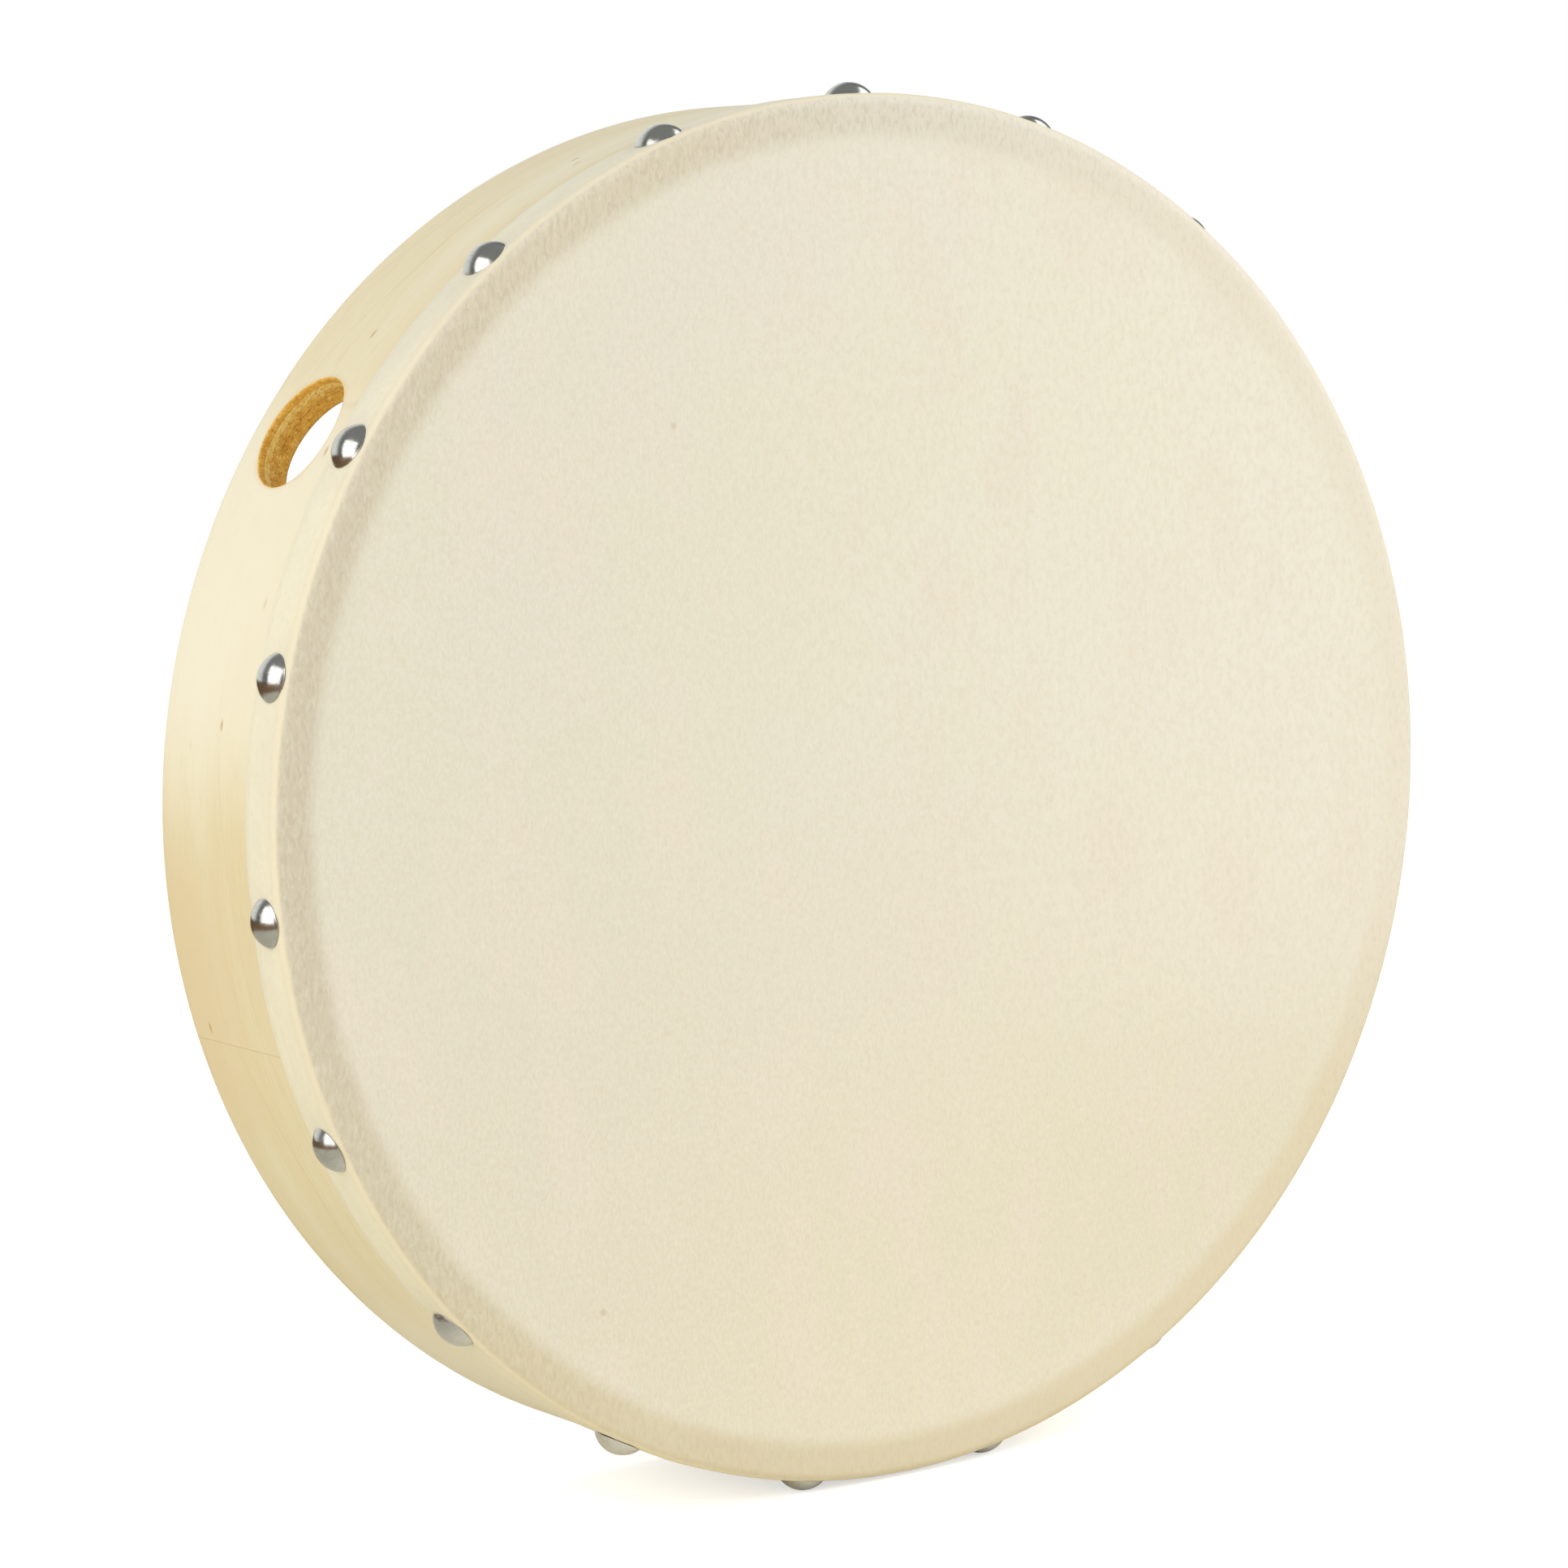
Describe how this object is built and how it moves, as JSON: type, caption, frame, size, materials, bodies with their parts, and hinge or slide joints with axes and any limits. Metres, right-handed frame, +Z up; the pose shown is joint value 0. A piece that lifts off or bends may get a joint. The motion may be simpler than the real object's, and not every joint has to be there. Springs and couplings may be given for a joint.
{
  "type": "frame drum",
  "caption": "Shallow round hand drum: bent plywood hoop with a thumb hole, one natural skin head folded over the front edge and held by a row of dome-headed tacks.",
  "frame": {"origin": "on the ground under the middle of the drum, halfway along its depth, at the height of the lowest tack domes", "axes": "+Z up with the drum standing on its rim, the drum's own axis along Y with the head facing -Y, +X to the right as the head is seen"},
  "size_m": [0.258, 0.0432, 0.2571],
  "materials": {
    "outer_veneer": "pale hardwood veneer, sanded and thinly sealed",
    "cross_veneer": "rough cut veneer edge, darker with glue",
    "core_veneer": "rough cut veneer edge",
    "inner_veneer": "pale hardwood veneer, sanded",
    "natural_skin": "dry natural skin, matt, finely fibrous",
    "nickel": "bright nickel plate"
  },
  "bodies": {
    "root": {"outer_face_ply": "outer_veneer", "outer_cross_ply": "cross_veneer", "core_ply": "core_veneer", "inner_cross_ply": "cross_veneer", "inner_face_ply": "inner_veneer", "drum_skin": "natural_skin", "tack_01": "nickel", "tack_02": "nickel", "tack_03": "nickel", "tack_04": "nickel", "tack_05": "nickel", "tack_06": "nickel", "tack_07": "nickel", "tack_08": "nickel", "tack_09": "nickel", "tack_10": "nickel", "tack_11": "nickel", "tack_12": "nickel", "tack_13": "nickel", "tack_14": "nickel", "tack_15": "nickel", "tack_16": "nickel", "tack_17": "nickel", "tack_18": "nickel", "tack_19": "nickel"}
  },
  "joints": []
}
